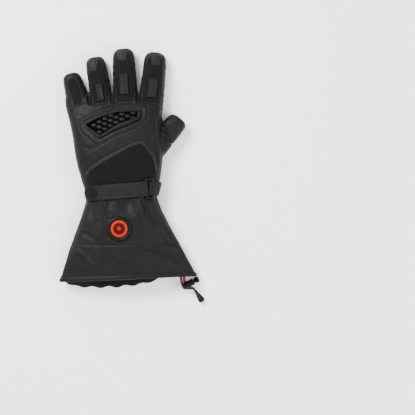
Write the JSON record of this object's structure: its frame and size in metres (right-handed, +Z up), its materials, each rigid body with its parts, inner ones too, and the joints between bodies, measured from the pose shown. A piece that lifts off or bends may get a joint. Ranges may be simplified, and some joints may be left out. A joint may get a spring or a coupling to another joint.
{
  "type": "heated glove",
  "caption": "Padded left-hand gauntlet glove with a flared cuff, knuckle guard, wrist strap, lit power button and a locking drawcord at the hem",
  "frame": {"origin": "the middle of the glove's footprint on the surface it lies on, measured without the free drawcord", "axes": "+Y to the fingertips, +X to the thumb side, +Z up out of the back of the hand"},
  "size_m": [0.2028, 0.3598, 0.0491],
  "materials": {
    "leather": "semi-matte grain",
    "stretch": "matte weave",
    "rubber": "matte",
    "grid": "satin",
    "webbing": "matte weave",
    "plastic": "satin",
    "lens": "gloss, lit from below",
    "cord": "matte braid"
  },
  "bodies": {
    "glove": {"hand_shell": "leather", "thumb": "leather", "trim_band": "leather", "gauntlet": "leather", "drawcord_hem": "leather", "guard_frame": "rubber", "guard_grid": "grid", "wrist_panel": "stretch", "wrist_strap": "webbing", "strap_anchor": "webbing", "strap_badge": "plastic", "strap_ring": "plastic", "button_bezel": "plastic", "button_lens": "lens", "cord_left": "cord", "cord_right": "cord", "cord_lock": "plastic", "cord_end": "plastic", "finger_little": "leather", "back_panel_little": "stretch", "finger_ring": "leather", "back_panel_ring": "stretch", "finger_middle": "leather", "back_panel_middle": "stretch", "finger_index": "leather", "back_panel_index": "stretch", "knuckle_pad_ring": "rubber", "tip_cap_ring": "leather", "knuckle_pad_middle": "rubber", "tip_cap_middle": "leather", "knuckle_pad_index": "rubber", "tip_cap_index": "leather"},
    "plunger": {"cord_plunger": "plastic"}
  },
  "joints": [
    {"name": "plunger_slide", "type": "slide", "parent": "glove", "child": "plunger", "axis": [0.8436, 0.4391, -0.309], "range_m": [-0.003, 0], "stiffness_N_per_m": 500}
  ]
}
